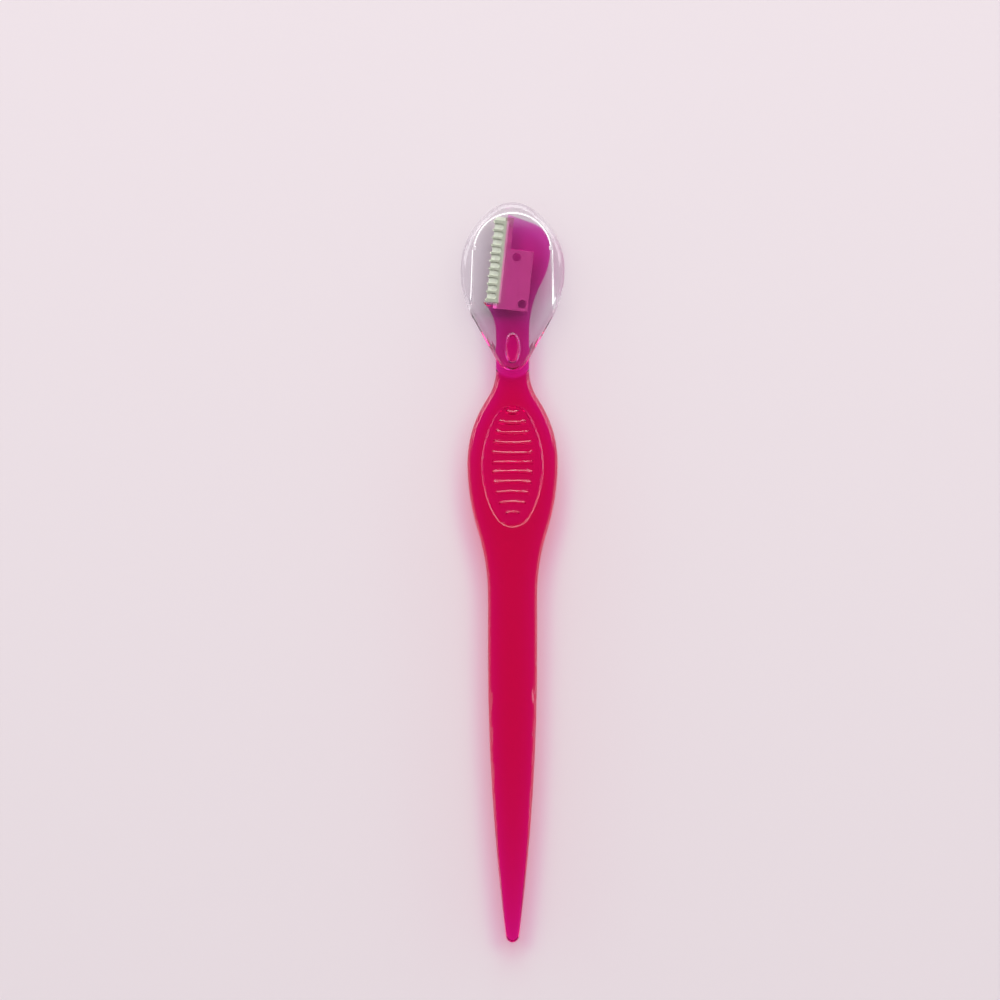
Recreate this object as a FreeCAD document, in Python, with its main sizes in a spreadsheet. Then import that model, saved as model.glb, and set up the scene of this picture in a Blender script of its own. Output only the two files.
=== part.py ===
# Eyebrow razor with a slide-on clear cap.
# The razor lies on its back: +Y runs to the head, +Z comes out of the front face, the blade is on -X.
# Every body is drawn about the centre of the neck's oval catch, and then placed in the part's frame.
import FreeCAD, Part
import math
import os
import re

import Sketcher

SIZES = {
    # handle, seen from the front
    "handle_thickness": 5.0,
    "neck_width": 6.26,
    "grip_width": 17.1,
    "shank_width": 9.3,
    "neck_drop": 4.2,
    "neck_to_grip": 17.7,
    "grip_to_shank": 25.1,
    "shank_length": 11.2,
    "tail_length": 54.5,
    "neck_blend_radius": 10.0,
    "grip_blend_radius": 42.0,
    "tip_radius": 1.25,
    "tip_thickness": 4.0,
    "edge_round": 1.0,
    # thumb pad on each face: a dish with a flat floor and a sloping wall
    "pad_drop": 22.3,
    "pad_width": 10.9,
    "pad_length": 22.3,
    "pad_end_radius": 3.2,
    "pad_depth": 0.45,
    "pad_tilt": 0.7,
    "pad_wall_slope": 45.0,
    "rib_rise": 0.65,
    "rib_pitch": 1.94,
    "rib_width": 0.85,
    "rib_bow": 0.25,
    "rib_side_gap": 1.55,
    "rib_end_gap": 0.9,
    "rib_recess": 0.06,
    "rib_chamfer": 0.22,
    # head and neck
    "head_thickness": 2.2,
    "neck_rise": 2.8,
    "ramp_rise": 3.4,
    "ramp_length": 2.4,
    "head_reach": 7.2,
    "crown_radius": 5.1,
    "brow_slope": 20.0,
    "cheek_radius": 13.0,
    "brow_facet_slope": 9.0,
    "brow_facet_angle": 15.0,
    "brow_facet_drop": 2.6,
    "lip_bevel": 0.8,
    "ledge_bevel": 0.5,
    "bevel_depth": 0.5,
    # blade, in a frame that leans with it
    "blade_tilt": 6.3,
    "notch_offset": 2.7,
    "notch_rise": 8.3,
    "blade_line": 17.1,
    "heel_reach": 2.85,
    "blade_thickness": 0.25,
    "blade_top_gap": 0.6,
    "blade_back": 1.2,
    "tang_reach": 5.65,
    "tang_length": 10.6,
    "foot_depth": 0.9,
    "foot_inset": 1.0,
    "anchor_diameter": 1.6,
    "upper_anchor_reach": 2.5,
    "upper_anchor_rise": 9.2,
    "lower_anchor_reach": 4.5,
    "lower_anchor_rise": 0.45,
    "grind_width": 0.8,
    "edge_thickness": 0.03,
    "insert_gap": 0.02,
    # guard
    "guard_reach": 2.6,
    "guard_sheet": 0.18,
    "guard_fit": 0.03,
    "guard_edge_gap": 0.1,
    "guard_tuck": 0.5,
    "guard_lift": 0.25,
    "guard_top_gap": 1.25,
    "window_pitch": 1.47,
    "bar_width": 0.38,
    "spine_width": 0.5,
    "window_corner": 0.3,
    # cap
    "cap_wall": 0.9,
    "cap_clearance": 0.12,
    "cap_side_clearance": 0.6,
    "cap_top_clearance": 0.6,
    "cap_side_wall": 2.05,
    "cap_crown_wall": 1.6,
    "cap_crown_radius": 6.5,
    "cap_belly_rise": 14.6,
    "cap_jaw_radius": 18.5,
    "cap_draft": 2.0,
    "cap_round": 1.25,
    "cavity_bevel": 0.7,
    "tongue_drop": 4.4,
    "tongue_tip_radius": 3.2,
    "tongue_end_gap": 1.35,
    "recess_overrun": 0.57,
    # oval catch and its window
    "catch_width": 2.3,
    "catch_length": 5.0,
    "catch_end_radius": 0.75,
    "catch_height": 0.4,
    "catch_chamfer": 0.15,
    "catch_clearance": 0.15,
    "window_chamfer": 0.2,
}

# Lengths that follow from the driving dimensions
HALF = "(handle_thickness / 2)"
CAVITY_HALF = "(handle_thickness / 2 - cap_wall)"
NECK_HALF = "(handle_thickness / 2 - cap_wall - cap_clearance)"
HEAD_HALF = "(head_thickness / 2)"
RECESS_RADIUS = "(neck_width / 2 + recess_overrun)"
RECESS_CENTRE = "(recess_overrun + neck_width / 2 - tongue_drop - tongue_end_gap)"
GRIP_Y = "(-neck_drop - neck_to_grip)"
SHANK_Y = "(-neck_drop - neck_to_grip - grip_to_shank)"
TAIL_Y = "(-neck_drop - neck_to_grip - grip_to_shank - shank_length)"
TIP_Y = "(-neck_drop - neck_to_grip - grip_to_shank - shank_length - tail_length)"
BROW_X = "(blade_line * sin(blade_tilt) - notch_offset)"
BROW_Y = "(notch_rise + blade_line * cos(blade_tilt))"
CAVITY_TOP = "(notch_rise + blade_line * cos(blade_tilt) + cap_top_clearance)"
CAP_TOP = "(notch_rise + blade_line * cos(blade_tilt) + cap_top_clearance + cap_crown_wall)"
CAVITY_WIDTH = "(head_reach + cap_side_clearance)"
CAP_WIDTH = "(head_reach + cap_side_clearance + cap_side_wall)"
GUARD_INNER = "(blade_thickness / 2 + guard_fit)"
GUARD_OUTER = "(blade_thickness / 2 + guard_fit + guard_sheet)"
EDGE_REACH = "(guard_reach - guard_sheet - guard_edge_gap)"
GUARD_LENGTH = "(blade_line - guard_lift - guard_top_gap)"
CATCH_TOP = "(handle_thickness / 2 - cap_wall - cap_clearance + catch_height)"
RIB_REACH = "(pad_width / 2 - rib_side_gap)"
RIB_SPAN = "(pad_length / 2 - rib_end_gap)"
CAVITY_RADIUS = (f"(({CAVITY_WIDTH} * cos(cap_draft) - ({CAVITY_TOP} - cap_belly_rise) * sin(cap_draft))"
                 " / (1 - sin(cap_draft)))")
RAZOR_LENGTH = f"({CAP_TOP} - {TIP_Y})"
LEAN = "rotationz(-blade_tilt)"
# How far a cut starts outside the solid, and the length below which two places are one
OVERCUT = 2.0
TOUCH = 1e-6
# The cavity's corners slope at half a right angle
CORNER_SLOPE = 45.0

doc = FreeCAD.newDocument("eyebrow_razor")
sheet = doc.addObject("Spreadsheet::Sheet", "sizes")
for row, (alias, value) in enumerate(SIZES.items(), start=1):
    sheet.set(f"A{row}", alias)
    sheet.set(f"B{row}", str(value))
    sheet.setAlias(f"B{row}", alias)
doc.recompute()


def formula(text):
    """Write plain size names as references to the sheet."""
    return re.sub(r"[a-z_]+", lambda m: f"sizes.{m[0]}" if m[0] in SIZES else m[0], text)


def num(text):
    """The present value of a formula in the sizes."""
    return float(sheet.evalExpression(formula(text)))


def bind(thing, path, text):
    thing.setExpression(path, formula(text))


def new_body(label):
    body = doc.addObject("PartDesign::Body", label)
    body.AllowCompound = True
    return body


def origin_item(body, role):
    return next(item for item in body.Origin.OriginFeatures if item.Role == role)


def put_in_frame(body):
    """Lay the piece on its back, with the whole razor centred along its length."""
    bind(body, "Placement.Base.y", f"-({CAP_TOP} + {TIP_Y}) / 2")
    bind(body, "Placement.Base.z", HALF)


def put_on_blade_line(body):
    """Stand the piece on the notch of the head, leaning with the blade."""
    place = f"vector(-notch_offset; notch_rise - ({CAP_TOP} + {TIP_Y}) / 2; {HALF})"
    bind(body, "Placement", f"placement({place}; {LEAN})")


class Profile:
    """An outline in a sketch: lines and arcs in order, and the constraints that hold them."""

    def __init__(self, body, name, plane="XY_Plane"):
        self.sketch = body.newObject("Sketcher::SketchObject", name)
        self.sketch.AttachmentSupport = [(origin_item(body, plane), "")]
        self.sketch.MapMode = "FlatFace"
        self.ends = {}
        self.count = 0

    def line(self, start, end):
        segment = Part.LineSegment(FreeCAD.Vector(*start), FreeCAD.Vector(*end))
        geo = self.sketch.addGeometry(segment, False)
        self.ends[geo] = (1, 2)
        return geo

    def arc(self, centre, start, end, half_turn=0):
        """The short arc from start to end, or half a turn: 1 anticlockwise, -1 clockwise."""
        first = math.atan2(start[1] - centre[1], start[0] - centre[0])
        last = math.atan2(end[1] - centre[1], end[0] - centre[0])
        turn = half_turn * math.pi or math.remainder(last - first, 2 * math.pi)
        radius = math.dist(centre, start)
        circle = Part.Circle(FreeCAD.Vector(*centre), FreeCAD.Vector(0, 0, 1), radius)
        low, high = (first, first + turn) if turn > 0 else (first + turn, first)
        geo = self.sketch.addGeometry(Part.ArcOfCircle(circle, low, high), False)
        self.ends[geo] = (1, 2) if turn > 0 else (2, 1)
        return geo

    def shift(self, x="0", y="0", z="0", turn="rotationz(0)"):
        """Move and turn the sketch away from its plane."""
        bind(self.sketch, "AttachmentOffset", f"placement(vector({x}; {y}; {z}); {turn})")

    def rule(self, kind, *refs):
        self.sketch.addConstraint(Sketcher.Constraint(kind, *refs))

    def join(self, pieces, smooth=()):
        """Chain the pieces into a ring; those in smooth run on into the next without a corner."""
        for piece, after in zip(pieces, pieces[1:] + pieces[:1]):
            kind = "Tangent" if piece in smooth else "Coincident"
            self.rule(kind, piece, self.ends[piece][1], after, self.ends[after][0])

    def hold(self, kind, *refs, to):
        """A dimension bound to a formula."""
        index = self.sketch.addConstraint(Sketcher.Constraint(kind, *refs, num(to)))
        self.count += 1
        name = f"size_{self.count}"
        self.sketch.renameConstraint(index, name)
        bind(self.sketch, f"Constraints.{name}", to)

    def place(self, geo, vertex, x=None, y=None):
        """Fix a vertex at signed distances from the sketch's origin."""
        for kind, axis, text in (("DistanceX", -2, x), ("DistanceY", -1, y)):
            if text is None:
                continue
            if abs(num(text)) < TOUCH:
                self.rule("PointOnObject", geo, vertex, axis)
            elif num(text) > 0:
                self.hold(kind, -1, 1, geo, vertex, to=text)
            else:
                self.hold(kind, geo, vertex, -1, 1, to=f"-({text})")

    def start(self, geo, **at):
        self.place(geo, self.ends[geo][0], **at)

    def finish(self, geo, **at):
        self.place(geo, self.ends[geo][1], **at)

    def level_centre(self, geo, vertex):
        """The arc leaves the vertex along Y, so its centre is level with it."""
        self.rule("Horizontal", geo, 3, geo, vertex)

    def rectangle(self, left, right, low, high):
        xs, ys = (num(left), num(right)), (num(low), num(high))
        corners = [(xs[0], ys[0]), (xs[1], ys[0]), (xs[1], ys[1]), (xs[0], ys[1])]
        return self.polygon(corners, [(left, low), (right, low), (right, high), (left, high)])

    def polygon(self, corners, texts):
        """Straight sides through corners, each corner placed by its own formulas."""
        sides = [self.line(a, b) for a, b in zip(corners, corners[1:] + corners[:1])]
        self.join(sides)
        for side, (x, y) in zip(sides, texts):
            self.start(side, x=x, y=y)
        return sides

    def circle(self, x, y, radius):
        centre = FreeCAD.Vector(num(x), num(y))
        geo = self.sketch.addGeometry(Part.Circle(centre, FreeCAD.Vector(0, 0, 1), num(radius)), False)
        self.place(geo, 3, x=x, y=y)
        self.hold("Radius", geo, to=radius)

    def oval(self, y, width, length, end):
        """An upright oval on the axis: two end arcs, and two long side arcs that run into them."""
        rise = f"(({length}) / 2 - ({end}))"
        side = f"(((({width}) / 2)^2 + {rise}^2 - ({end})^2) / (({width}) - 2 * ({end})))"
        middle, a, b, r, long_r = num(y), num(width) / 2, num(length) / 2, num(end), num(side)
        centres = [(0, middle + b - r), (a - long_r, middle), (0, middle - b + r), (long_r - a, middle)]
        right_meet = tangent_point(centres[1], centres[0], long_r)
        drop = 2 * middle
        meets = [(-right_meet[0], right_meet[1]), right_meet,
                 (right_meet[0], drop - right_meet[1]), (-right_meet[0], drop - right_meet[1])]
        ring = [self.arc(c, p, q) for c, p, q in zip(centres, meets, meets[1:] + meets[:1])]
        self.join(ring, smooth=ring)
        for arc, shift in zip(ring[::2], ("+", "-")):
            self.place(arc, 3, x="0", y=f"({y}) {shift} {rise}")
            self.hold("Radius", arc, to=end)
        for arc in ring[1::2]:
            self.hold("Radius", arc, to=side)


def feature(body, kind, name, profile, length=None, midplane=True, reverse=False):
    """A pad or pocket of a profile, by default half to each side of its plane."""
    made = body.newObject(f"PartDesign::{kind}", name)
    made.Profile = profile.sketch
    made.SideType = "Symmetric" if midplane else "One side"
    made.Reversed = reverse
    bind(made, "Length", length)
    return made


def mirrored(body, name, originals, plane):
    made = body.newObject("PartDesign::Mirrored", name)
    made.Originals = originals
    made.MirrorPlane = (origin_item(body, plane), [""])
    body.Tip = made
    return made


def tangent_point(centre, other, radius):
    """The point of a circle that faces another centre."""
    reach = math.dist(centre, other)
    return tuple(c + (o - c) * radius / reach for c, o in zip(centre, other))


def s_curve_total(span, step):
    """The two radii of an S-curve between parallel tangents, added up."""
    return (span * span + step * step) / (2 * step)


def inner_tangent_radius(width, rise, small):
    """Radius of an arc that starts square at the width and ends on a small arc centred on the axis."""
    return (width * width + rise * rise - small * small) / (2 * (width - small))


def add_shaft(body):
    """The grip, shank and tail: half an outline, mirrored, with its long edges rounded."""
    neck, grip, shank = num("neck_width / 2"), num("grip_width / 2"), num("shank_width / 2")
    top, neck_y = num(RECESS_CENTRE), num("-neck_drop")
    grip_y, shank_y, tail_y, tip_y = num(GRIP_Y), num(SHANK_Y), num(TAIL_Y), num(TIP_Y)
    neck_r = num("neck_blend_radius")
    upper_r = s_curve_total(neck_y - grip_y, grip - neck) - neck_r
    grip_r = num("grip_blend_radius")
    waist_r = s_curve_total(grip_y - shank_y, grip - shank) - grip_r
    tip_r = num("tip_radius")
    tail_r = inner_tangent_radius(shank, tail_y - tip_y - tip_r, tip_r)
    neck_c, upper_c = (neck + neck_r, neck_y), (grip - upper_r, grip_y)
    grip_c, waist_c = (grip - grip_r, grip_y), (shank + waist_r, shank_y)
    tail_c, tip_c = (shank - tail_r, tail_y), (0, tip_y + tip_r)
    neck_end = tangent_point(neck_c, upper_c, neck_r)
    grip_end = tangent_point(grip_c, waist_c, grip_r)
    tail_end = tangent_point(tail_c, tip_c, tail_r)

    half = Profile(body, "shaft_outline")
    head_end = half.line((0, top), (neck, top))
    neck_side = half.line((neck, top), (neck, neck_y))
    neck_arc = half.arc(neck_c, (neck, neck_y), neck_end)
    upper_arc = half.arc(upper_c, neck_end, (grip, grip_y))
    grip_arc = half.arc(grip_c, (grip, grip_y), grip_end)
    waist_arc = half.arc(waist_c, grip_end, (shank, shank_y))
    shank_side = half.line((shank, shank_y), (shank, tail_y))
    tail_arc = half.arc(tail_c, (shank, tail_y), tail_end)
    tip_arc = half.arc(tip_c, tail_end, (0, tip_y))
    axis = half.line((0, tip_y), (0, top))
    ring = [head_end, neck_side, neck_arc, upper_arc, grip_arc, waist_arc, shank_side, tail_arc,
            tip_arc, axis]
    half.join(ring, smooth=ring[1:8])
    half.rule("Vertical", neck_side)
    half.rule("Vertical", shank_side)
    half.level_centre(upper_arc, half.ends[upper_arc][1])
    half.rule("PointOnObject", tip_arc, 3, -2)
    half.start(head_end, x="0", y=RECESS_CENTRE)
    half.start(neck_side, x="neck_width / 2", y=RECESS_CENTRE)
    half.finish(neck_side, y="-neck_drop")
    half.hold("Radius", neck_arc, to="neck_blend_radius")
    half.finish(upper_arc, x="grip_width / 2", y=GRIP_Y)
    half.hold("Radius", grip_arc, to="grip_blend_radius")
    half.start(shank_side, x="shank_width / 2", y=SHANK_Y)
    half.finish(shank_side, y=TAIL_Y)
    half.hold("Radius", tip_arc, to="tip_radius")
    half.start(axis, x="0", y=TIP_Y)
    pad = feature(body, "Pad", "shaft_half", half, "handle_thickness")
    mirrored(body, "shaft_whole", [pad], "YZ_Plane")
    soften_edges(body, "Fillet", "shaft_rounded", "edge_round", HALF)


def cut_tongue_recess(body):
    """The step down from the grip to the neck, half round like the tongue that lies in it."""
    reach, centre = num(RECESS_RADIUS), (0, num(RECESS_CENTRE))
    top = centre[1] + OVERCUT
    step = Profile(body, "recess_outline")
    left = step.line((-reach, top), (-reach, centre[1]))
    bottom = step.arc(centre, (-reach, centre[1]), (reach, centre[1]), half_turn=1)
    right = step.line((reach, centre[1]), (reach, top))
    over = step.line((reach, top), (-reach, top))
    step.join([left, bottom, right, over], smooth=[left, bottom])
    step.rule("Vertical", left)
    step.rule("Horizontal", over)
    step.hold("Radius", bottom, to=RECESS_RADIUS)
    step.place(bottom, 3, x="0", y=RECESS_CENTRE)
    step.start(over, y=f"{RECESS_CENTRE} + {OVERCUT}")
    step.shift(z=NECK_HALF)
    cut = feature(body, "Pocket", "recess_front", step, "handle_thickness",
                  midplane=False, reverse=True)
    mirrored(body, "recess_both", [cut], "XY_Plane")


def add_head(body):
    """The neck and head plate, with the notch that the blade stands in on its left side."""
    tilt, slope = math.radians(num("blade_tilt")), math.radians(num("brow_slope"))
    neck, low, rise = num("neck_width / 2"), num("-neck_drop"), num("neck_rise")
    notch = (num("-notch_offset"), num("notch_rise"))
    heel_reach = num("heel_reach")
    heel = (notch[0] - heel_reach * math.cos(tilt), notch[1] + heel_reach * math.sin(tilt))
    brow = (num(BROW_X), num(BROW_Y))
    reach, crown_r, cheek_r = num("head_reach"), num("crown_radius"), num("cheek_radius")
    crown_x = reach - crown_r
    crown_y = brow[1] - (crown_r - (brow[0] - crown_x) * math.sin(slope)) / math.cos(slope)
    crown_start = (crown_x + crown_r * math.sin(slope), crown_y + crown_r * math.cos(slope))
    nape_r = s_curve_total(crown_y - rise, reach - neck) - cheek_r
    cheek_c, nape_c = (reach - cheek_r, crown_y), (neck + nape_r, rise)
    cheek_end = tangent_point(cheek_c, nape_c, cheek_r)
    heel_r = s_curve_total(heel[1] - rise, -neck - heel[0])

    plate = Profile(body, "head_outline")
    foot = plate.line((neck, low), (-neck, low))
    left = plate.line((-neck, low), (-neck, rise))
    heel_arc = plate.arc((-neck - heel_r, rise), (-neck, rise), heel)
    ledge = plate.line(heel, notch)
    lip = plate.line(notch, brow)
    top = plate.line(brow, crown_start)
    crown = plate.arc((crown_x, crown_y), crown_start, (reach, crown_y))
    cheek = plate.arc(cheek_c, (reach, crown_y), cheek_end)
    nape = plate.arc(nape_c, cheek_end, (neck, rise))
    right = plate.line((neck, rise), (neck, low))
    ring = [foot, left, heel_arc, ledge, lip, top, crown, cheek, nape, right]
    plate.join(ring, smooth=[left, top, crown, cheek, nape])
    plate.rule("Vertical", left)
    plate.rule("Vertical", right)
    plate.start(foot, x="neck_width / 2", y="-neck_drop")
    plate.finish(foot, x="-neck_width / 2", y="-neck_drop")
    plate.finish(left, y="neck_rise")
    plate.start(ledge, x="-notch_offset - heel_reach * cos(blade_tilt)",
                y="notch_rise + heel_reach * sin(blade_tilt)")
    plate.start(lip, x="-notch_offset", y="notch_rise")
    plate.start(top, x=BROW_X, y=BROW_Y)
    plate.start(crown, x="head_reach - crown_radius + crown_radius * sin(brow_slope)")
    plate.hold("Radius", crown, to="crown_radius")
    plate.level_centre(crown, plate.ends[crown][1])
    plate.finish(crown, x="head_reach")
    plate.hold("Radius", cheek, to="cheek_radius")
    plate.start(right, y="neck_rise")
    feature(body, "Pad", "head_plate", plate, f"2 * {NECK_HALF}")


def thin_head(body):
    """The ramp from the neck's thickness to the head's, on both faces."""
    side = Profile(body, "head_side", "YZ_Plane")
    start, end, clear = "ramp_rise", "ramp_rise + ramp_length", CAP_TOP
    over = f"{NECK_HALF} + {OVERCUT}"
    texts = [(start, NECK_HALF), (end, HEAD_HALF), (clear, HEAD_HALF), (clear, over), (start, over)]
    side.polygon([(num(y), num(z)) for y, z in texts], texts)
    cut = feature(body, "Pocket", "head_front", side, RAZOR_LENGTH)
    mirrored(body, "head_both", [cut], "XY_Plane")


def bevel_head(body):
    """A flat facet across the brow, and a bevel along the lip beside the blade, on both faces."""
    facet = Profile(body, "brow_outline")
    facet.rectangle(f"-{OVERCUT}", RAZOR_LENGTH, "0", RAZOR_LENGTH)
    facet.shift(f"{BROW_X} - brow_facet_drop * sin(blade_tilt)",
                f"{BROW_Y} - brow_facet_drop * cos(blade_tilt)", HEAD_HALF,
                "rotationz(-brow_facet_slope) * rotationx(-brow_facet_angle)")
    brow = feature(body, "Pocket", "brow_front", facet, "head_thickness", midplane=False, reverse=True)

    low, high, clear = f"{HEAD_HALF} - bevel_depth", f"{HEAD_HALF} + {OVERCUT}", f"{OVERCUT}"
    bevel = Profile(body, "lip_outline", "XZ_Plane")
    texts = [("0", low), ("lip_bevel", HEAD_HALF), ("lip_bevel", high),
             (f"-{clear}", high), (f"-{clear}", low)]
    bevel.polygon([(num(x), num(z)) for x, z in texts], texts)
    bevel.shift("-notch_offset", "0", "-notch_rise", "rotationy(-blade_tilt)")
    lip = feature(body, "Pocket", "lip_front", bevel, RAZOR_LENGTH, midplane=False)

    shelf = Profile(body, "ledge_outline", "YZ_Plane")
    texts = [("0", low), (clear, low), (clear, high),
             ("-ledge_bevel", high), ("-ledge_bevel", HEAD_HALF)]
    shelf.polygon([(num(y), num(z)) for y, z in texts], texts)
    shelf.shift("notch_rise", "0", "-notch_offset", "rotationy(-blade_tilt)")
    ledge = feature(body, "Pocket", "ledge_front", shelf, RAZOR_LENGTH, midplane=False)
    mirrored(body, "bevels_both", [brow, lip, ledge], "XY_Plane")


def add_catches(body):
    """The oval catch that stands on each face of the neck."""
    catch = Profile(body, "catch_outline")
    catch.oval("0", "catch_width", "catch_length", "catch_end_radius")
    body.Tip = feature(body, "Pad", "catches", catch, f"2 * {CATCH_TOP}")
    soften_edges(body, "Chamfer", "catches_softened", "catch_chamfer", CATCH_TOP)


def soften_edges(body, kind, name, size, *levels, where=lambda box: True):
    """Round or chamfer the edges that lie flat at one of the levels, in front or behind."""
    doc.recompute()
    tip = body.Tip
    heights = [num(level) for level in levels]
    names = []
    for index, edge in enumerate(tip.Shape.Edges, start=1):
        box = edge.BoundBox
        flat = box.ZLength < TOUCH and min(abs(abs(box.ZMin) - height) for height in heights) < TOUCH
        if flat and where(box):
            names.append(f"Edge{index}")
    made = body.newObject(f"PartDesign::{kind}", name)
    made.Base = (tip, names)
    bind(made, {"Fillet": "Radius", "Chamfer": "Size"}[kind], size)
    body.Tip = made


def cut_thumb_pad(body):
    """A shallow oval dish with a floor that falls towards the tail, on both faces."""
    dish = Profile(body, "pad_outline")
    dish.oval("0", "pad_width", "pad_length", "pad_end_radius")
    dish.shift("0", "-pad_drop", f"{HALF} - pad_depth", "rotationx(pad_tilt)")
    cut = feature(body, "Pocket", "pad_front", dish, "handle_thickness", midplane=False, reverse=True)
    bind(cut, "TaperAngle", "pad_wall_slope")
    mirrored(body, "pad_both", [cut], "XY_Plane")


def add_ribs(body):
    """Square-ended ribs across the pad, bowed towards its middle, within an oval field."""
    ribs = Profile(body, "rib_outlines")
    farthest = int(num(f"({RIB_SPAN} - rib_width / 2) / rib_pitch"))
    for step in range(-farthest, farthest + 1):
        add_rib(ribs, step)
    ribs.shift(z=f"{HALF} - rib_recess")
    depth = "pad_depth + tan(pad_tilt) * pad_length / 2"
    pad = feature(body, "Pad", "ribs_front", ribs, depth, midplane=False, reverse=True)
    mirrored(body, "ribs_both", [pad], "XY_Plane")
    soften_edges(body, "Chamfer", "ribs_softened", "rib_chamfer", f"{HALF} - rib_recess")


def add_rib(ribs, step):
    """One rib: straight in the middle of the pad, and arched above and below it."""
    level = f"(rib_rise - pad_drop + {step} * rib_pitch)"
    reach = f"({RIB_REACH} * sqrt(1 - ({step} * rib_pitch / {RIB_SPAN})^2))"
    if step == 0:
        ribs.rectangle(f"-{reach}", reach, f"{level} - rib_width / 2", f"{level} + rib_width / 2")
        return
    bow = f"(({reach}^2 + rib_bow^2) / (2 * rib_bow))"
    side = 1 if step > 0 else -1
    x, centre = num(reach), (0, num(level) + side * (num(bow) - num("rib_bow")))
    radii = [f"{bow} - rib_width / 2", f"{bow} + rib_width / 2"]
    near_y, far_y = (centre[1] - side * math.sqrt(num(radius) ** 2 - x * x) for radius in radii)
    near = ribs.arc(centre, (-x, near_y), (x, near_y))
    right = ribs.line((x, near_y), (x, far_y))
    far = ribs.arc(centre, (x, far_y), (-x, far_y))
    left = ribs.line((-x, far_y), (-x, near_y))
    ribs.join([near, right, far, left])
    for arc, radius in zip((near, far), radii):
        ribs.place(arc, 3, x="0", y=f"{level} + {side} * ({bow} - rib_bow)")
        ribs.hold("Radius", arc, to=radius)
    for end, x_text in ((right, reach), (left, f"-{reach}")):
        ribs.rule("Vertical", end)
        ribs.start(end, x=x_text)


def draw_blade(profile, grow="0"):
    """The blade's flat outline and anchoring holes, grown by a gap for its seat in the head."""
    left, low = f"-({EDGE_REACH} + {grow})", f"guard_lift - {grow}"
    top, narrow = f"blade_line - blade_top_gap + {grow}", f"blade_back + {grow}"
    tang_top, tang = f"tang_length + {grow}", f"tang_reach + {grow}"
    foot, foot_left = f"-(foot_depth + {grow})", f"-(foot_inset + {grow})"
    texts = [(left, low), (left, top), (narrow, top), (narrow, tang_top),
             (tang, tang_top), (tang, foot), (foot_left, foot), (foot_left, low)]
    profile.polygon([(num(x), num(y)) for x, y in texts], texts)
    for which in ("upper", "lower"):
        profile.circle(f"{which}_anchor_reach", f"{which}_anchor_rise", f"anchor_diameter / 2 - {grow}")


def cut_blade_seat(body):
    """The slots that the moulding leaves round the tang and round the guard's tucked edges."""
    seat = Profile(body, "seat_outline")
    draw_blade(seat, "insert_gap")
    seat.shift("-notch_offset", "notch_rise", "0", LEAN)
    feature(body, "Pocket", "blade_seat", seat, "blade_thickness + 2 * insert_gap")
    slot = Profile(body, "slot_outline")
    slot.rectangle("-guard_reach", "guard_tuck + insert_gap",
                   "guard_lift - insert_gap", f"guard_lift + {GUARD_LENGTH} + insert_gap")
    slot.shift("-notch_offset", "notch_rise", "0", LEAN)
    body.Tip = feature(body, "Pocket", "guard_slot", slot, f"2 * ({GUARD_OUTER} + insert_gap)")


def thin_tail(body):
    """A long shallow arc on each face that takes the tail down to the tip's thickness."""
    half, tail_y, tip_y = num(HALF), num(TAIL_Y), num(TIP_Y)
    drop = num("(handle_thickness - tip_thickness) / 2")
    radius = s_curve_total(tail_y - tip_y, drop)
    centre, tip = (tail_y, half - radius), (tip_y, half - drop)
    clear_y, clear_z = tip_y - OVERCUT, half + OVERCUT
    side = Profile(body, "tail_side", "YZ_Plane")
    slope = side.arc(centre, (tail_y, half), tip)
    out = side.line(tip, (clear_y, tip[1]))
    end = side.line((clear_y, tip[1]), (clear_y, clear_z))
    over = side.line((clear_y, clear_z), (tail_y, clear_z))
    back = side.line((tail_y, clear_z), (tail_y, half))
    side.join([slope, out, end, over, back])
    side.rule("Horizontal", out)
    side.rule("Vertical", end)
    side.rule("Horizontal", over)
    side.rule("Vertical", back)
    side.rule("Vertical", slope, 3, back, 2)
    side.start(slope, x=TAIL_Y, y=HALF)
    side.start(out, x=TIP_Y, y="tip_thickness / 2")
    side.start(over, x=f"{TIP_Y} - {OVERCUT}", y=f"{HALF} + {OVERCUT}")
    cut = feature(body, "Pocket", "tail_slope", side, "grip_width")
    mirrored(body, "tail_both", [cut], "XY_Plane")


def make_handle():
    """One moulding: shaft, neck and head, with the thumb pads, the catches and the blade's seat."""
    body = new_body("handle")
    add_shaft(body)
    thin_tail(body)
    cut_tongue_recess(body)
    add_head(body)
    thin_head(body)
    bevel_head(body)
    add_catches(body)
    cut_thumb_pad(body)
    add_ribs(body)
    cut_blade_seat(body)
    put_in_frame(body)
    return body


def make_blade():
    """A flat steel strip with a wide tang, ground to an edge on its left side."""
    body = new_body("blade")
    outline = Profile(body, "blade_outline")
    draw_blade(outline)
    feature(body, "Pad", "blade_strip", outline, "blade_thickness")
    grind = Profile(body, "grind_outline", "XZ_Plane")
    edge, inner, clear = f"-{EDGE_REACH}", f"grind_width - {EDGE_REACH}", f"-{EDGE_REACH} - {OVERCUT}"
    low, face, over = "edge_thickness / 2", "blade_thickness / 2", f"blade_thickness / 2 + {OVERCUT}"
    texts = [(edge, low), (inner, face), (inner, over), (clear, over), (clear, low)]
    grind.polygon([(num(x), num(z)) for x, z in texts], texts)
    cut = feature(body, "Pocket", "grind_front", grind, RAZOR_LENGTH)
    mirrored(body, "grind_both", [cut], "XY_Plane")
    put_on_blade_line(body)
    return body


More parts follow.
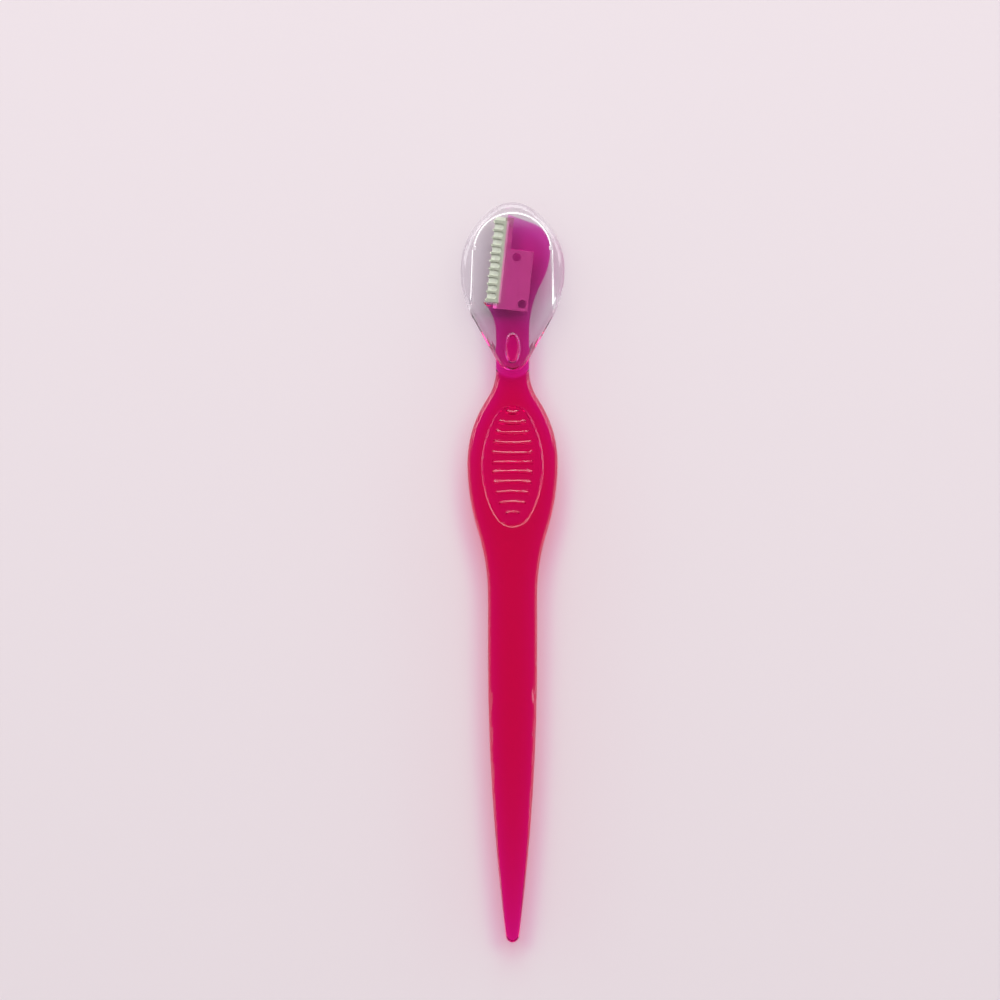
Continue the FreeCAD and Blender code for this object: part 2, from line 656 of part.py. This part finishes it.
def make_guard():
    """A thin strip folded over the cutting edge, pierced into a row of bars."""
    body = new_body("guard")
    outer, inner, tuck = num(GUARD_OUTER), num(GUARD_INNER), num("guard_tuck")
    fold_text = f"{GUARD_OUTER} - guard_reach"
    fold = (num(fold_text), 0)
    channel = Profile(body, "fold_outline", "XZ_Plane")
    front = channel.line((tuck, outer), (fold[0], outer))
    bend = channel.arc(fold, (fold[0], outer), (fold[0], -outer), half_turn=1)
    back = channel.line((fold[0], -outer), (tuck, -outer))
    back_end = channel.line((tuck, -outer), (tuck, -inner))
    back_inside = channel.line((tuck, -inner), (fold[0], -inner))
    inside = channel.arc(fold, (fold[0], -inner), (fold[0], inner), half_turn=-1)
    front_inside = channel.line((fold[0], inner), (tuck, inner))
    front_end = channel.line((tuck, inner), (tuck, outer))
    channel.join([front, bend, back, back_end, back_inside, inside, front_inside, front_end],
                 smooth=[front, bend, back_inside, inside])
    for level in (front, back, back_inside, front_inside):
        channel.rule("Horizontal", level)
    channel.start(front, x="guard_tuck", y=GUARD_OUTER)
    channel.start(back_end, x="guard_tuck", y=f"-{GUARD_OUTER}")
    channel.start(back_inside, x="guard_tuck", y=f"-{GUARD_INNER}")
    channel.start(front_end, x="guard_tuck", y=GUARD_INNER)
    channel.place(bend, 3, x=fold_text)
    channel.place(inside, 3, x=fold_text)
    channel.shift(z="-guard_lift")
    feature(body, "Pad", "fold", channel, GUARD_LENGTH, midplane=False, reverse=True)
    doc.recompute()

    count = int(num(f"({GUARD_LENGTH} - bar_width) / window_pitch"))
    low = f"(guard_lift + ({GUARD_LENGTH} + bar_width - {count} * window_pitch) / 2)"
    high = f"({low} + window_pitch - bar_width)"
    left, right = f"-guard_reach - {OVERCUT}", "-spine_width"
    bevel = f"{right} - window_corner"
    low_bevel, high_bevel = f"{low} + window_corner", f"{high} - window_corner"
    texts = [(left, low), (bevel, low), (right, low_bevel),
             (right, high_bevel), (bevel, high), (left, high)]
    window = Profile(body, "window_outline")
    window.polygon([(num(x), num(y)) for x, y in texts], texts)
    cut = feature(body, "Pocket", "window", window, "guard_reach")
    row = body.newObject("PartDesign::LinearPattern", "windows")
    row.Originals = [cut]
    row.Direction = (origin_item(body, "Y_Axis"), [""])
    row.Occurrences = count
    bind(row, "Length", f"window_pitch * {count - 1}")
    body.Tip = row
    put_on_blade_line(body)
    return body


def egg_top(profile, width, belly, top, crown):
    """The upper quarter of an egg: a crown arc on the axis and a cheek arc down to the belly."""
    crown_r, rise = num(crown), num(top) - num(crown)
    cheek_r = inner_tangent_radius(num(width), rise - num(belly), crown_r)
    crown_c, cheek_c = (0, rise), (num(width) - cheek_r, num(belly))
    meet = tangent_point(cheek_c, crown_c, cheek_r)
    arch = profile.arc(crown_c, (0, num(top)), meet)
    cheek = profile.arc(cheek_c, meet, (num(width), num(belly)))
    profile.hold("Radius", arch, to=crown)
    profile.rule("PointOnObject", arch, 3, -2)
    profile.start(arch, x="0", y=top)
    profile.finish(cheek, x=width, y=belly)
    profile.level_centre(cheek, profile.ends[cheek][1])
    return arch, cheek


def add_cap_outside(body):
    """The outside of the cap: half an egg that runs down into a tongue, mirrored, with round edges."""
    width, belly, jaw_r = num(CAP_WIDTH), num("cap_belly_rise"), num("cap_jaw_radius")
    tip_r, low = num("tongue_tip_radius"), num("-tongue_drop")
    jaw_c, tip_c = (width - jaw_r, belly), (0, low + tip_r)
    facing = math.atan2(tip_c[1] - jaw_c[1], tip_c[0] - jaw_c[0])
    facing += math.acos((jaw_r - tip_r) / math.dist(jaw_c, tip_c))
    jaw_end, tip_start = (tuple(c + r * f for c, f in zip(centre, (math.cos(facing), math.sin(facing))))
                          for centre, r in ((jaw_c, jaw_r), (tip_c, tip_r)))
    half = Profile(body, "cap_outline")
    arch, cheek = egg_top(half, CAP_WIDTH, "cap_belly_rise", CAP_TOP, "cap_crown_radius")
    jaw = half.arc(jaw_c, (width, belly), jaw_end)
    edge = half.line(jaw_end, tip_start)
    tip = half.arc(tip_c, tip_start, (0, low))
    axis = half.line((0, low), (0, num(CAP_TOP)))
    half.join([arch, cheek, jaw, edge, tip, axis], smooth=[arch, cheek, jaw, edge])
    half.hold("Radius", jaw, to="cap_jaw_radius")
    half.hold("Radius", tip, to="tongue_tip_radius")
    half.rule("PointOnObject", tip, 3, -2)
    half.start(axis, x="0", y="-tongue_drop")
    pad = feature(body, "Pad", "cap_half", half, "handle_thickness")
    mirrored(body, "cap_whole", [pad], "YZ_Plane")
    # The round edge is made of flats a sixteenth of a turn apart
    wide, narrow = "cap_round * (2 - sqrt(2))", "cap_round * (tan(22.5) - tan(11.25))"
    soften_edges(body, "Chamfer", "cap_bevel", wide, HALF)
    soften_edges(body, "Chamfer", "cap_rounded", narrow, HALF, f"{HALF} - {wide}")


def draw_hollow(body, name):
    """A round-ended slot with drafted walls, open below."""
    draft, radius, top = math.radians(num("cap_draft")), num(CAVITY_RADIUS), num(CAVITY_TOP)
    low_text = f"-tongue_drop - {OVERCUT}"
    foot_text = f"({CAVITY_WIDTH} + (cap_belly_rise + tongue_drop + {OVERCUT}) * tan(cap_draft))"
    low, foot = num(low_text), num(foot_text)
    centre = (0, top - radius)
    meet_x, meet_y = radius * math.cos(draft), centre[1] + radius * math.sin(draft)
    hollow = Profile(body, name)
    right = hollow.line((foot, low), (meet_x, meet_y))
    arch = hollow.arc(centre, (meet_x, meet_y), (-meet_x, meet_y))
    left = hollow.line((-meet_x, meet_y), (-foot, low))
    base = hollow.line((-foot, low), (foot, low))
    hollow.join([right, arch, left, base], smooth=[right, arch])
    hollow.hold("Radius", arch, to=CAVITY_RADIUS)
    hollow.place(arch, 3, x="0", y=f"{CAVITY_TOP} - {CAVITY_RADIUS}")
    hollow.start(base, x=f"-{foot_text}", y=low_text)
    hollow.finish(base, x=foot_text, y=low_text)
    return hollow


def hollow_cap(body):
    """The slot that the head slides into, narrower towards its front and back faces."""
    straight = f"({CAVITY_HALF} - cavity_bevel)"
    feature(body, "Pocket", "hollow", draw_hollow(body, "hollow_outline"), f"2 * {straight}")
    corner = draw_hollow(body, "corner_outline")
    corner.shift(z=straight)
    cut = feature(body, "Pocket", "corner_front", corner, "cavity_bevel", midplane=False, reverse=True)
    cut.TaperAngle = -CORNER_SLOPE
    mirrored(body, "corner_both", [cut], "XY_Plane")


def make_cap():
    """The clear cover: an egg with a tongue at front and back, each with a window for the catch."""
    body = new_body("cap")
    add_cap_outside(body)
    hollow_cap(body)
    window = Profile(body, "catch_window")
    window.oval("0", "catch_width + 2 * catch_clearance", "catch_length + 2 * catch_clearance",
                "catch_end_radius + catch_clearance")
    body.Tip = feature(body, "Pocket", "catch_windows", window, RAZOR_LENGTH)
    rim = num("catch_length / 2 + catch_clearance")

    def round_window(box):
        return max(-box.YMin, box.YMax) < rim + TOUCH

    soften_edges(body, "Chamfer", "window_rims", "window_chamfer", HALF, where=round_window)
    groove = Profile(body, "lead_in")
    reach = "catch_width / 2 + catch_clearance"
    groove.rectangle(f"-({reach})", reach, f"-tongue_drop - {OVERCUT}", "0")
    body.Tip = feature(body, "Pocket", "lead_ins", groove, f"2 * {CATCH_TOP} + catch_clearance")
    put_in_frame(body)
    return body


def leaves_no_mark(step):
    """True for a cut that takes nothing away, or any other step that adds nothing to its base."""
    base = getattr(step, "BaseFeature", None)
    return base is not None and abs(step.Shape.Volume - base.Shape.Volume) < TOUCH


pieces = [make_handle(), make_blade(), make_guard(), make_cap()]
doc.recompute()

faults = [item.Name for item in doc.Objects if {"Invalid", "Error"} & set(item.State)]
faults += [piece.Label for piece in pieces if piece.Shape.isNull() or not piece.Shape.isValid()]
faults += [piece.Label for piece in pieces if len(piece.Shape.Solids) != 1]
faults += [step.Name for step in doc.Objects if leaves_no_mark(step)]
if faults:
    raise RuntimeError(f"these did not build: {faults}")

os.makedirs("parts", exist_ok=True)
for piece in pieces:
    piece.Shape.exportStep(f"parts/{piece.Label}.step")
    print(piece.Label, round(piece.Shape.Volume, 2), piece.Shape.BoundBox)
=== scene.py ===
# Eyebrow razor: a see-through magenta handle, a short blade under a folded comb guard, and a clear cap.
import math

import bmesh
import bpy
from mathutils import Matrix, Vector


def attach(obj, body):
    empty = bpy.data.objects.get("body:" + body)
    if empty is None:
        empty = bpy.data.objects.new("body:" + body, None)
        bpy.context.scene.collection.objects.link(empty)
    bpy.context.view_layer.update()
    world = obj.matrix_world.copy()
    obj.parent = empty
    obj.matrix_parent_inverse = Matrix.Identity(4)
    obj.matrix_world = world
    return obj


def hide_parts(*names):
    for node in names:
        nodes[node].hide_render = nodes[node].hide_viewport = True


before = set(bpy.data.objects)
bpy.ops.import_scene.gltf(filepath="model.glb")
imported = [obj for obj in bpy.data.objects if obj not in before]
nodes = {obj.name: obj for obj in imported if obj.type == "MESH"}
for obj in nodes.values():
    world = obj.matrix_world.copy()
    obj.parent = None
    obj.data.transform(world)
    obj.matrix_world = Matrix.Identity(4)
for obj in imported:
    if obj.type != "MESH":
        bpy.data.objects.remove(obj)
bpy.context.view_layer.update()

scene = bpy.context.scene
MM = 0.001

# The handle's ribs, mm. The heights of their tops and shoulders are over the handle's middle plane
HANDLE_MIDDLE = 2.5
RIB_TOP = 2.44
RIB_SHOULDER = 2.22
RIB_FIELD_HALF_WIDTH = 5.0
RIB_FIELD_START = 9.0
RIB_FIELD_END = 32.0
ROOF_SLOPE_WIDTH = 0.17
ROOF_DROP = 0.075

# The cap's shallow edges: the angles that they turn by, and how wide their blends are, mm
CAP_EDGE_LEAST_TURN = 15
CAP_EDGE_MOST_TURN = 30
CAP_EDGE_BLEND = 0.2
CAP_SHARP_TURN = 35

# The blade strip leans by this much across for each millimetre along. Its edge side, paler from grinding
# and also painted lighter, against the rest in the plastic painted darker as shade, ends on a line
# that leans with it and crosses the middle of the razor here, mm
STRIP_LEAN = 0.1015
GROUND_AND_PAINTED_LIGHT_LINE = -8.0
GROUND_AND_PAINTED_LIGHT_BLEND = 0.15

MERGE_DISTANCE = 0.002  # mm
SAME_WAY = 0.7  # cosine within which a solid's normal still belongs to a face
POLYSTYRENE_IOR = 1.59

# Soft boxes, in metres, degrees and watts
LAMP_DISTANCE = 2.6
SOFTBOX_WIDTH = 1.8
LOW_ELEVATION = 7.5
LOW_WIDTH = 2.4
LOW_HEIGHT = 0.74
LOW_WATTS = 16.0
SIDE_WATTS = 7.0


def linear(code):
    """An sRGB hex code as linear colour values."""
    parts = [int(code[i:i + 2], 16) / 255 for i in (1, 3, 5)]
    return tuple(c / 12.92 if c <= 0.04045 else ((c + 0.055) / 1.055) ** 2.4 for c in parts) + (1.0,)


def add_node(tree, kind, values=None, links=None, **settings):
    """Add a node with its settings, the constants on its sockets, and the sources linked to them."""
    node = tree.nodes.new(kind)
    for name, value in settings.items():
        setattr(node, name, value)
    for name, value in (values or {}).items():
        node.inputs[name].default_value = value
    for name, source in (links or {}).items():
        tree.links.new(source, node.inputs[name])
    return node


def new_material(name):
    material = bpy.data.materials.new(name)
    material.use_nodes = True
    material.node_tree.nodes.clear()
    return material, material.node_tree


def per_mm(size):
    """The scale of a pattern whose features are that many millimetres apart."""
    return 1 / (size * MM)


def let_light_through(tree, surface, shade, rays):
    """Let these kinds of light pass straight through see-through plastic, dyed on their way."""
    light_path = add_node(tree, "ShaderNodeLightPath")
    mixed = surface.outputs["BSDF"]
    for ray in rays:
        step = add_node(tree, "ShaderNodeMixShader", links={"Fac": light_path.outputs[ray]})
        tree.links.new(mixed, step.inputs[1])
        tree.links.new(shade.outputs["BSDF"], step.inputs[2])
        mixed = step.outputs["Shader"]
    return mixed


def magenta_polystyrene():
    """Dyed general-purpose polystyrene, injection moulded in a polished tool: glossy and see-through,
    deeper in colour where it is thicker, with faint flow waves along it and a little haze from handling."""
    material, tree = new_material("polystyrene_magenta_moulded")
    place = add_node(tree, "ShaderNodeTexCoord").outputs["Object"]
    # Flow waves of the melt, 3 mm wide and stretched along the handle
    along = add_node(tree, "ShaderNodeMapping", {"Scale": (1, 0.22, 1)}, {"Vector": place})
    waves = add_node(tree, "ShaderNodeTexNoise", {"Scale": per_mm(3), "Detail": 2.0},
                     {"Vector": along.outputs["Vector"]})
    relief = add_node(tree, "ShaderNodeBump", {"Strength": 0.25, "Distance": 0.03 * MM},
                      {"Height": waves.outputs["Fac"]})
    # Handling haze in patches about 4 mm wide
    patches = add_node(tree, "ShaderNodeTexNoise", {"Scale": per_mm(4), "Detail": 6.0}, {"Vector": place})
    haze = add_node(tree, "ShaderNodeMapRange",
                    {"From Min": 0.35, "From Max": 0.75, "To Min": 0.03, "To Max": 0.12},
                    {"Value": patches.outputs["Fac"]})
    surface = add_node(tree, "ShaderNodeBsdfPrincipled",
                       {"Base Color": linear("#FFFFFF"), "IOR": POLYSTYRENE_IOR, "Transmission Weight": 1.0},
                       {"Roughness": haze.outputs["Result"], "Normal": relief.outputs["Normal"]})
    # What each face holds back. The dye in the depth gives the colour
    shade = add_node(tree, "ShaderNodeBsdfTransparent", {"Color": linear("#F4F0F2")})
    mixed = let_light_through(tree, surface, shade, ["Is Shadow Ray", "Is Diffuse Ray"])
    dye = add_node(tree, "ShaderNodeVolumeAbsorption", {"Color": linear("#FE00E8"), "Density": 1000.0})
    add_node(tree, "ShaderNodeOutputMaterial", links={"Surface": mixed, "Volume": dye.outputs["Volume"]})
    return material


def clear_polystyrene():
    """Crystal polystyrene, injection moulded in a polished tool: water clear with a faint cool grey in
    depth, glossy, with slight waves from cooling that bend the highlights."""
    material, tree = new_material("polystyrene_clear_moulded")
    place = add_node(tree, "ShaderNodeTexCoord").outputs["Object"]
    # Sink waves about 6 mm apart
    waves = add_node(tree, "ShaderNodeTexNoise", {"Scale": per_mm(6), "Detail": 1.0}, {"Vector": place})
    relief = add_node(tree, "ShaderNodeBump", {"Strength": 0.25, "Distance": 0.04 * MM},
                      {"Height": waves.outputs["Fac"]})
    # Handling haze in patches about 3 mm wide
    patches = add_node(tree, "ShaderNodeTexNoise", {"Scale": per_mm(3), "Detail": 6.0}, {"Vector": place})
    haze = add_node(tree, "ShaderNodeMapRange",
                    {"From Min": 0.4, "From Max": 0.8, "To Min": 0.01, "To Max": 0.07},
                    {"Value": patches.outputs["Fac"]})
    surface = add_node(tree, "ShaderNodeBsdfPrincipled",
                       {"Base Color": linear("#FFFFFF"), "IOR": POLYSTYRENE_IOR, "Transmission Weight": 1.0},
                       {"Roughness": haze.outputs["Result"], "Normal": relief.outputs["Normal"]})
    shade = add_node(tree, "ShaderNodeBsdfTransparent", {"Color": linear("#FAF9FB")})
    # What one inner wall has mirrored leaves the plastic at the next, so no light is trapped in the rim
    mixed = let_light_through(tree, surface, shade, ["Is Shadow Ray", "Is Diffuse Ray", "Is Reflection Ray"])
    tint = add_node(tree, "ShaderNodeVolumeAbsorption", {"Color": linear("#D8D4DC"), "Density": 30.0})
    add_node(tree, "ShaderNodeOutputMaterial", links={"Surface": mixed, "Volume": tint.outputs["Volume"]})
    return material


def rolled_steel(name, tone, dark_tone, roughness, ground_and_painted_light_tone=None):
    """Thin stainless strip, cold rolled and then pressed or finished by grinding: a soft satin grey with
    fine lines along it, and paler on the edge side from the grinding. That paler side is also painted
    light, and the tone of the part inside the plastic is painted shade."""
    material, tree = new_material(name)
    place = add_node(tree, "ShaderNodeTexCoord").outputs["Object"]
    # Rolling lines are a few hundredths of a millimetre apart; 0.25 mm is as fine as shows here
    along = add_node(tree, "ShaderNodeMapping", {"Scale": (1, 0.03, 1)}, {"Vector": place})
    lines = add_node(tree, "ShaderNodeTexNoise", {"Scale": per_mm(0.25), "Detail": 3.0},
                     {"Vector": along.outputs["Vector"]})
    relief = add_node(tree, "ShaderNodeBump", {"Strength": 0.35, "Distance": 0.004 * MM},
                      {"Height": lines.outputs["Fac"]})
    tones = add_node(tree, "ShaderNodeMix", {"A": linear(dark_tone), "B": linear(tone)},
                     {"Factor": lines.outputs["Fac"]}, data_type="RGBA")
    # The edge side's paler tone is partly the grinding and partly painted light; the tones of the rest, in
    # the plastic, are painted shade
    if ground_and_painted_light_tone:
        side = add_node(tree, "ShaderNodeVectorMath", {1: (1, -STRIP_LEAN, 0)}, {0: place},
                        operation="DOT_PRODUCT")
        ground_and_painted_light_mask = add_node(tree, "ShaderNodeMapRange",
                          {"From Min": GROUND_AND_PAINTED_LIGHT_LINE * MM, "From Max": (GROUND_AND_PAINTED_LIGHT_LINE - GROUND_AND_PAINTED_LIGHT_BLEND) * MM},
                          {"Value": side.outputs["Value"]})
        tones = add_node(tree, "ShaderNodeMix", {"B": linear(ground_and_painted_light_tone)},
                         {"Factor": ground_and_painted_light_mask.outputs["Result"], "A": tones.outputs["Result"]}, data_type="RGBA")
    satin = add_node(tree, "ShaderNodeMapRange", {"To Min": roughness - 0.06, "To Max": roughness + 0.08},
                     {"Value": lines.outputs["Fac"]})
    surface = add_node(tree, "ShaderNodeBsdfPrincipled", {"Metallic": 1.0},
                       {"Base Color": tones.outputs["Result"], "Roughness": satin.outputs["Result"],
                        "Normal": relief.outputs["Normal"]})
    add_node(tree, "ShaderNodeOutputMaterial", links={"Surface": surface.outputs["BSDF"]})
    return material


def merged_copy(node):
    """The node's solid as one closed mesh, its loose triangles joined."""
    shape = bmesh.new()
    shape.from_mesh(nodes[node].data)
    bmesh.ops.remove_doubles(shape, verts=shape.verts, dist=MERGE_DISTANCE * MM)
    return shape


def show_instead(shape, name, node, body):
    """Make the worked copy the piece that shows in place of its node."""
    mesh = bpy.data.meshes.new(name)
    shape.to_mesh(mesh)
    shape.free()
    mesh.shade_smooth()
    piece = bpy.data.objects.new(name, mesh)
    scene.collection.objects.link(piece)
    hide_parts(node)
    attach(piece, body)
    return piece


def on_rib(vertex, height):
    """True for a vertex of the thumb pads' ribs at that height over the handle's middle plane."""
    x, y, z = (value / MM for value in vertex.co)
    inside = abs(x) < RIB_FIELD_HALF_WIDTH and RIB_FIELD_START < y < RIB_FIELD_END
    return inside and abs(abs(z - HANDLE_MIDDLE) - height) < 0.01


def sink(vertices, depth):
    """Move vertices towards the handle's middle plane, each from its own side of it."""
    for vertex in vertices:
        vertex.co.z -= depth * MM * math.copysign(1, vertex.co.z - HANDLE_MIDDLE * MM)


def keep_normals(mesh, source):
    """Give every corner that the solid also has the solid's own exact normal, and the rest their face's."""
    exact = {}
    for loop, corner in zip(source.loops, source.corner_normals):
        place = source.vertices[loop.vertex_index].co.to_tuple(7)
        exact.setdefault(place, []).append(corner.vector.copy())
    normals = []
    for face in mesh.polygons:
        for loop in face.loop_indices:
            place = mesh.vertices[mesh.loops[loop].vertex_index].co.to_tuple(7)
            nearest = max(exact.get(place, []), key=face.normal.dot, default=face.normal)
            normals.append(nearest if nearest.dot(face.normal) > SAME_WAY else face.normal.copy())
    mesh.normals_split_custom_set(normals)


def ribbed_handle():
    """The handle, with the flat tops of its ribs eased to low roofs that catch the light."""
    shape = merged_copy("handle")
    tops = [face for face in shape.faces if all(on_rib(vertex, RIB_TOP) for vertex in face.verts)]
    shoulders = [vertex for vertex in shape.verts if on_rib(vertex, RIB_SHOULDER)]
    tops = bmesh.ops.dissolve_faces(shape, faces=tops, use_verts=False)["region"]
    slopes = bmesh.ops.inset_region(shape, faces=tops, thickness=ROOF_SLOPE_WIDTH * MM,
                                    use_even_offset=True)["faces"]
    ridges = {vertex for face in tops for vertex in face.verts}
    eaves = {vertex for face in slopes for vertex in face.verts} - ridges
    # The shoulders sink with the eaves, so the bevel under each roof keeps its angle
    sink(eaves, ROOF_DROP)
    sink(shoulders, ROOF_DROP)
    piece = show_instead(shape, "ribbed_handle", "handle", "razor")
    keep_normals(piece.data, nodes["handle"].data)
    return piece


def clear_cap():
    """The cap, with the flats of its round edge blended into one curve."""
    shape = merged_copy("cap")
    bmesh.ops.dissolve_limit(shape, angle_limit=math.radians(0.4), verts=shape.verts, edges=shape.edges)
    least, most = math.radians(CAP_EDGE_LEAST_TURN), math.radians(CAP_EDGE_MOST_TURN)
    shallow = [edge for edge in shape.edges if edge.is_manifold and least < edge.calc_face_angle() < most]
    bmesh.ops.bevel(shape, geom=shallow, offset=CAP_EDGE_BLEND * MM, offset_type="OFFSET", affect="EDGES",
                    segments=2, profile=0.5, material=-1, clamp_overlap=True)
    piece = show_instead(shape, "clear_cap", "cap", "cover")
    piece.data.set_sharp_from_angle(angle=math.radians(CAP_SHARP_TURN))
    weights = piece.modifiers.new("flat_faces_stay_flat", "WEIGHTED_NORMAL")
    weights.keep_sharp = True
    return piece


def give(piece, material):
    piece.data.materials.clear()
    piece.data.materials.append(material)


give(ribbed_handle(), magenta_polystyrene())
# The blade's tang tones are painted darker as shade under the plastic, and its edge-side tone is paler as
# painted light as well as from grinding
give(nodes["blade"], rolled_steel("stainless_strip_ground_painted_light", "#C4C4B0", "#AAAA98", 0.6, "#F4FAE8"))
give(nodes["guard"], rolled_steel("stainless_sheet_pressed", "#E0E8D2", "#C6CEB8", 0.56))
give(clear_cap(), clear_polystyrene())


def pale_floor():
    """A plain pale table top just under the razor."""
    shape = bmesh.new()
    bmesh.ops.create_grid(shape, x_segments=1, y_segments=1, size=1.5)
    bmesh.ops.translate(shape, verts=shape.verts, vec=(0, 0, -0.05 * MM))
    mesh = bpy.data.meshes.new("table_top")
    shape.to_mesh(mesh)
    shape.free()
    floor = bpy.data.objects.new("table_top", mesh)
    scene.collection.objects.link(floor)
    material, tree = new_material("table_top_matt_paint")
    place = add_node(tree, "ShaderNodeTexCoord").outputs["Object"]
    # Roller texture of the paint, 1.5 mm across
    grain = add_node(tree, "ShaderNodeTexNoise", {"Scale": per_mm(1.5), "Detail": 2.0}, {"Vector": place})
    relief = add_node(tree, "ShaderNodeBump", {"Strength": 0.05, "Distance": 0.02 * MM},
                      {"Height": grain.outputs["Fac"]})
    surface = add_node(tree, "ShaderNodeBsdfPrincipled",
                       {"Base Color": linear("#EADFE4"), "Roughness": 0.7, "Specular IOR Level": 0.2},
                       {"Normal": relief.outputs["Normal"]})
    add_node(tree, "ShaderNodeOutputMaterial", links={"Surface": surface.outputs["BSDF"]})
    mesh.materials.append(material)


def add_lamp(name, bearing, elevation, width, height, watts):
    """A soft box on the room's circle that faces the razor, its bearing counted from the head's side."""
    turn, lift = math.radians(bearing), math.radians(elevation)
    reach = math.cos(lift)
    place = LAMP_DISTANCE * Vector((math.sin(turn) * reach, math.cos(turn) * reach, math.sin(lift)))
    lamp = bpy.data.lights.new(name, "AREA")
    lamp.shape = "RECTANGLE"
    lamp.size, lamp.size_y, lamp.energy = width, height, watts
    holder = bpy.data.objects.new(name, lamp)
    holder.location = place
    holder.rotation_euler = (-place).to_track_quat("-Z", "Y").to_euler()
    scene.collection.objects.link(holder)


def soft_studio():
    """Soft boxes in a half ring beyond the head, low ones along the table's edge, and a room with a dark
    ceiling, which the flat faces mirror, so that they keep their deep colour."""
    for name, bearing, elevation, height, watts in (
            ("middle", 0, 32, 1.9, 45.0), ("left", -50, 46, 0.8, 19.0), ("right", 50, 46, 0.8, 19.0)):
        add_lamp(f"{name}_softbox", bearing, elevation, SOFTBOX_WIDTH, height, watts)
        add_lamp(f"{name}_low_softbox", bearing, LOW_ELEVATION, LOW_WIDTH, LOW_HEIGHT, LOW_WATTS)
    for name, bearing in (("left", -98), ("right", 98)):
        add_lamp(f"{name}_side_softbox", bearing, LOW_ELEVATION, LOW_WIDTH, LOW_HEIGHT, SIDE_WATTS)
    room = bpy.data.worlds.new("room_with_dark_ceiling")
    room.use_nodes = True
    tree = room.node_tree
    tree.nodes.clear()
    way = add_node(tree, "ShaderNodeTexCoord").outputs["Generated"]
    height = add_node(tree, "ShaderNodeSeparateXYZ", links={"Vector": way}).outputs["Z"]
    tones = add_node(tree, "ShaderNodeValToRGB", links={"Fac": height})
    walls, ceiling = tones.color_ramp.elements
    walls.position, walls.color = 0.25, linear("#E6E2E4")
    ceiling.position, ceiling.color = 0.9, linear("#5A5658")
    glow = add_node(tree, "ShaderNodeBackground", {"Strength": 0.6}, {"Color": tones.outputs["Color"]})
    add_node(tree, "ShaderNodeOutputWorld", links={"Surface": glow.outputs["Background"]})
    scene.world = room


def overhead_camera():
    """Straight above the razor, with its head at the top of the picture."""
    lens = bpy.data.cameras.new("overhead")
    lens.lens, lens.sensor_width = 100.0, 36.0
    lens.clip_start, lens.clip_end = 0.01, 10.0
    camera = bpy.data.objects.new("overhead", lens)
    # The picture is 190 mm wide at the razor's middle plane
    camera.location = (-2.375 * MM, 13.72 * MM, 530.3 * MM)
    scene.collection.objects.link(camera)
    scene.camera = camera


pale_floor()
soft_studio()
overhead_camera()
scene.view_settings.view_transform = "Standard"
